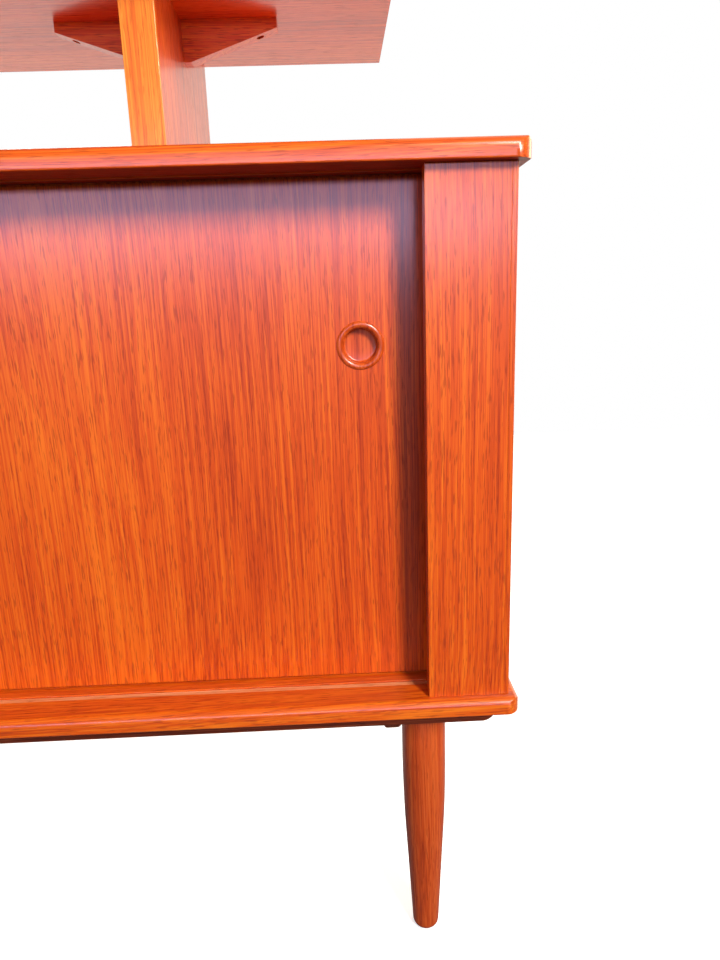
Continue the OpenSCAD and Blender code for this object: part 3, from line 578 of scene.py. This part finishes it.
def screw_tree():
    """Node tree that lays rows of slotted screw heads."""
    tree = bpy.data.node_groups.new("screw_rows", "GeometryNodeTree")
    for name, kind in INPUTS:
        tree.interface.new_socket(name=name, in_out="INPUT", socket_type=kind)
    tree.interface.new_socket(name="Geometry", in_out="OUTPUT", socket_type="NodeSocketGeometry")
    given = tree.nodes.new("NodeGroupInput").outputs
    groups = add(tree, "GeometryNodeMeshLine", {
        "Count": given["Groups"], "Start Location": given["Start"],
        "Offset": given["Group Step"]}, mode="OFFSET")
    row = add(tree, "GeometryNodeMeshLine", {
        "Count": given["Per Row"], "Offset": given["Row Step"]}, mode="OFFSET")
    rows = add(tree, "GeometryNodeInstanceOnPoints", {
        "Points": groups.outputs[0], "Instance": row.outputs[0]})
    points = add(tree, "GeometryNodeRealizeInstances", {"Geometry": rows.outputs[0]})
    top = math_node(tree, "MULTIPLY", given["Head Radius"], HEAD_TOP)
    head = add(tree, "GeometryNodeMeshCone", {
        "Vertices": HEAD_SIDES, "Radius Top": top, "Radius Bottom": given["Head Radius"],
        "Depth": given["Head Height"]})
    length = math_node(tree, "MULTIPLY", given["Head Radius"], SLOT_LENGTH)
    width = math_node(tree, "MULTIPLY", given["Head Radius"], SLOT_WIDTH)
    bar = add(tree, "ShaderNodeCombineXYZ", {0: length, 1: width, 2: given["Head Height"]}).outputs[0]
    rise = math_node(tree, "MULTIPLY", given["Head Height"], SLOT_RISE)
    lift = add(tree, "ShaderNodeCombineXYZ", {2: rise}).outputs[0]
    slot = add(tree, "GeometryNodeMeshCube", {"Size": bar})
    slot = add(tree, "GeometryNodeTransform", {"Geometry": slot.outputs[0], "Translation": lift})
    cut = add(tree, "GeometryNodeMeshBoolean", {"Mesh 1": head.outputs[0], "Mesh 2": slot.outputs[0]},
              operation="DIFFERENCE")
    facing = add(tree, "FunctionNodeEulerToRotation", {0: given["Facing"]}).outputs[0]
    heads = add(tree, "GeometryNodeInstanceOnPoints", {
        "Points": points.outputs[0], "Instance": cut.outputs[0], "Rotation": facing})
    chance = add(tree, "FunctionNodeRandomValue", {"Seed": given["Seed"]}, data_type="FLOAT")
    chance = next(output for output in chance.outputs if output.enabled)
    spin = add(tree, "ShaderNodeCombineXYZ", {2: math_node(tree, "MULTIPLY", chance, math.pi)}).outputs[0]
    spin = add(tree, "FunctionNodeEulerToRotation", {0: spin}).outputs[0]
    turned = add(tree, "GeometryNodeRotateInstances", {
        "Instances": heads.outputs[0], "Rotation": spin, "Local Space": True})
    real = add(tree, "GeometryNodeRealizeInstances", {"Geometry": turned.outputs[0]})
    dressed = add(tree, "GeometryNodeSetMaterial", {
        "Geometry": real.outputs[0], "Material": given["Material"]})
    output = tree.nodes.new("NodeGroupOutput")
    tree.links.new(dressed.outputs[0], output.inputs[0])
    return tree


def grow_row(tree, values):
    """Runs the tree once and returns its result as a plain mesh."""
    carrier = link_mesh("row_carrier", bpy.data.meshes.new("row_carrier_mesh"))
    modifier = carrier.modifiers.new("screws", "NODES")
    modifier.node_group = tree
    identifier = {item.name: item.identifier for item in tree.interface.items_tree if item.in_out == "INPUT"}
    for name, value in values.items():
        modifier[identifier[name]] = value
    depsgraph = bpy.context.evaluated_depsgraph_get()
    mesh = bpy.data.meshes.new_from_object(carrier.evaluated_get(depsgraph))
    carrier.modifiers.clear()
    bpy.data.objects.remove(carrier)
    return mesh


rows_tree = screw_tree()
leaf_low, leaf_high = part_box("hinge_cabinet_leaves")
flap_low, flap_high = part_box("hinge_flap_leaves")
desk_floor, flap_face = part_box("hutch_bottom")[1].z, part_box("fall_front")[1].y
# A hinge's length, and how far the screws stay from ends and from the leaves' long edges
HINGE, MARGIN, EDGE_IN = 60 * MM, 10 * MM, 9 * MM
hinge_step = (leaf_high.x - leaf_low.x - HINGE, 0.0, 0.0)
hinge_row = {"Groups": 2, "Group Step": hinge_step, "Per Row": 3, "Row Step": (HINGE / 2 - MARGIN, 0.0, 0.0)}
ROWS = {
    "hinge_cabinet_leaves": [dict(hinge_row, Facing=UPWARD, Start=(
        leaf_low.x + MARGIN, leaf_high.y - EDGE_IN, desk_floor - SINK))],
    "hinge_flap_leaves": [dict(hinge_row, Facing=BACKWARD, Start=(
        flap_low.x + MARGIN, flap_face - SINK, flap_high.z - EDGE_IN))],
}
for node, count in (("base_back", 9), ("hutch_back", 8)):
    low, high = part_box(node)
    ROWS[node] = [{
        "Start": (low.x + 2 * MARGIN, high.y - SINK, low.z + MARGIN), "Facing": BACKWARD, "Groups": 2,
        "Group Step": (0.0, 0.0, high.z - low.z - 2 * MARGIN), "Per Row": count,
        "Row Step": ((high.x - low.x - 4 * MARGIN) / (count - 1), 0.0, 0.0)}]
for seed, (node, rows) in enumerate(ROWS.items()):
    bm = bmesh.new()
    for values in rows:
        bm.from_mesh(grow_row(rows_tree, dict(
            values, Seed=seed, Material=brass, **{"Head Radius": HEAD_RADIUS, "Head Height": HEAD_HEIGHT})))
    mesh = bpy.data.meshes.new(node + "_screws_mesh")
    bm.to_mesh(mesh)
    bm.free()
    mesh.materials.append(brass)
    smooth(mesh)
    screws = link_mesh(node + "_screws", mesh)
    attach(screws, body_of_node[node])
    print(screws.name, len(mesh.polygons), "faces", [round(v, 4) for v in screws.bound_box[0]])

# %% [markdown]
# ## Studio
# The desk stands on a pale floor in a white room. The key is a soft box to the
# right, above eye level, and it draws the shadows of the top and the stile. A long,
# low, cool strip in front stands for a window: its picture in the lacquer is the
# sheen along the top of the doors. Two more boxes light the end and the back.
# A real studio lays a dark cloth in front of glossy furniture, so that the floor
# does not show in it. Here the floor looks pale to the camera, and only the light
# that bounces from its front half meets the cloth.

# %% Floor
FLOOR_HALF = 2.6
# Metres along Y where the cloth fades into the pale floor, and the glow that keeps the floor white
CLOTH_END, FLOOR_START = 0.0, 0.6
FLOOR_GLOW = 0.45
PAINT, PAINT_LIGHT = (0.86, 0.855, 0.85), (0.90, 0.895, 0.89)
CLOTH, FAR_FLOOR = (0.10, 0.10, 0.11), (0.9, 0.89, 0.88)
bm = bmesh.new()
bmesh.ops.create_grid(bm, x_segments=2, y_segments=2, size=FLOOR_HALF)
floor_mesh = bpy.data.meshes.new("floor_mesh")
bm.to_mesh(floor_mesh)
bm.free()
floor = link_mesh("floor", floor_mesh)
material, tree, shader = fresh_material("floor_paint")
spot = add(tree, "ShaderNodeTexCoord").outputs["Object"]
seen = add(tree, "ShaderNodeLightPath").outputs["Is Camera Ray"]
cloud = noise(tree, scaled(tree, spot, (2.0, 2.0, 2.0)), 3.0)
paint = ramp(tree, cloud, [(0.3, PAINT), (0.7, PAINT_LIGHT)])
depth = add(tree, "ShaderNodeSeparateXYZ", {0: spot}).outputs[1]
cloth = add(tree, "ShaderNodeMapRange", {
    "Value": depth, "From Min": CLOTH_END, "From Max": FLOOR_START}).outputs[0]
cloth = ramp(tree, cloth, [(0.0, CLOTH), (1.0, FAR_FLOOR)])
tree.links.new(mix(tree, seen, cloth, paint), shader.inputs["Base Color"])
shader.inputs["Roughness"].default_value = 0.9
shader.inputs["Specular IOR Level"].default_value = 0.1
shader.inputs["Emission Color"].default_value = (1.0, 1.0, 1.0, 1)
tree.links.new(math_node(tree, "MULTIPLY", seen, FLOOR_GLOW), shader.inputs["Emission Strength"])
floor_mesh.materials.append(material)
print("floor laid")

# %% Lights
# How bright the room is in front and behind, and the Y of a ray's direction where that change
# begins and ends
ROOM_FRONT, ROOM_BACK = 0.18, 0.85
GLOW_FROM, GLOW_TO = -0.3, 0.8
WHITE, WARM_WALL = (1.0, 1.0, 1.0, 1), (1.0, 0.96, 0.86, 1)
# Each light: its name, place, aim, width, height, watts, colour and spread in degrees
LIGHTS = [
    ("key_box", (1.6, -2.4, 2.02), (0.3, 0.0, 0.85), 0.55, 0.8, 38, (1.0, 0.95, 0.88), 105),
    ("window_box", (-0.1, -3.1, 1.03), (0.2, 0.0, 0.75), 3.0, 0.22, 31, (0.62, 0.61, 1.0), 180),
    ("right_box", (2.6, 0.9, 0.9), (0.2, 0.1, 0.75), 1.2, 1.4, 36, (1.0, 0.78, 0.5), 180),
    ("back_box", (-1.2, 2.9, 2.2), (0.0, 0.6, 0.2), 2.0, 1.4, 94, (1.0, 0.97, 0.92), 180),
]


def soft_box(name, place, aim, width, height, power, colour, spread):
    """A rectangular area light that looks at a point."""
    light = bpy.data.lights.new(name, "AREA")
    light.shape = "RECTANGLE"
    light.size = width
    light.size_y = height
    light.energy = power
    light.color = colour
    light.spread = math.radians(spread)
    obj = bpy.data.objects.new(name, light)
    obj.location = place
    obj.rotation_euler = (Vector(aim) - Vector(place)).to_track_quat("-Z", "Y").to_euler()
    bpy.context.scene.collection.objects.link(obj)
    return obj


for settings in LIGHTS:
    soft_box(*settings)
world = bpy.data.worlds.new("white_room")
world.use_nodes = True
tree = world.node_tree
background = tree.nodes["Background"]
way = add(tree, "ShaderNodeTexCoord").outputs["Generated"]
way_y = add(tree, "ShaderNodeSeparateXYZ", {0: way}).outputs[1]
glow = add(tree, "ShaderNodeMapRange", {
    "Value": way_y, "From Min": GLOW_FROM, "From Max": GLOW_TO, "To Min": ROOM_FRONT, "To Max": ROOM_BACK},
    interpolation_type="SMOOTHSTEP").outputs[0]
seen = add(tree, "ShaderNodeLightPath").outputs["Is Camera Ray"]
level = add(tree, "ShaderNodeMix", {0: seen, 2: glow, 3: 1.0}, data_type="FLOAT").outputs[0]
tree.links.new(mix(tree, seen, WARM_WALL, WHITE), background.inputs["Color"])
tree.links.new(level, background.inputs["Strength"])
bpy.context.scene.world = world
view = bpy.context.scene.view_settings
view.view_transform = "Standard"
print("lights:", len(LIGHTS), "soft boxes and a white room")

# %% [markdown]
# ## Camera
# The lens is wide and stands close, a little higher than the door pulls, looking
# down, with a slight lean. The camera's axes are worked out from three angles,
# which is easier to adjust than a matrix.

# %% Camera
EYE = Vector((458.0, -760.0, 645.1)) * MM
TURN, DOWN, LEAN = 0.0254, 0.2446, -0.0331
LENS, SENSOR = 26.97, 36.0
forward = Vector((math.sin(TURN) * math.cos(DOWN), math.cos(TURN) * math.cos(DOWN), -math.sin(DOWN)))
right = Vector((math.cos(TURN), -math.sin(TURN), 0.0))
up = right.cross(forward)
leaned_right = math.cos(LEAN) * right + math.sin(LEAN) * up
leaned_up = -math.sin(LEAN) * right + math.cos(LEAN) * up
camera_data = bpy.data.cameras.new("camera")
camera_data.lens = LENS
camera_data.sensor_width = SENSOR
camera = bpy.data.objects.new("camera", camera_data)
bpy.context.scene.collection.objects.link(camera)
turn = Matrix((leaned_right, leaned_up, -forward)).transposed().to_4x4()
camera.matrix_world = Matrix.Translation(EYE) @ turn
bpy.context.scene.camera = camera
print("camera at", tuple(round(v, 3) for v in EYE))
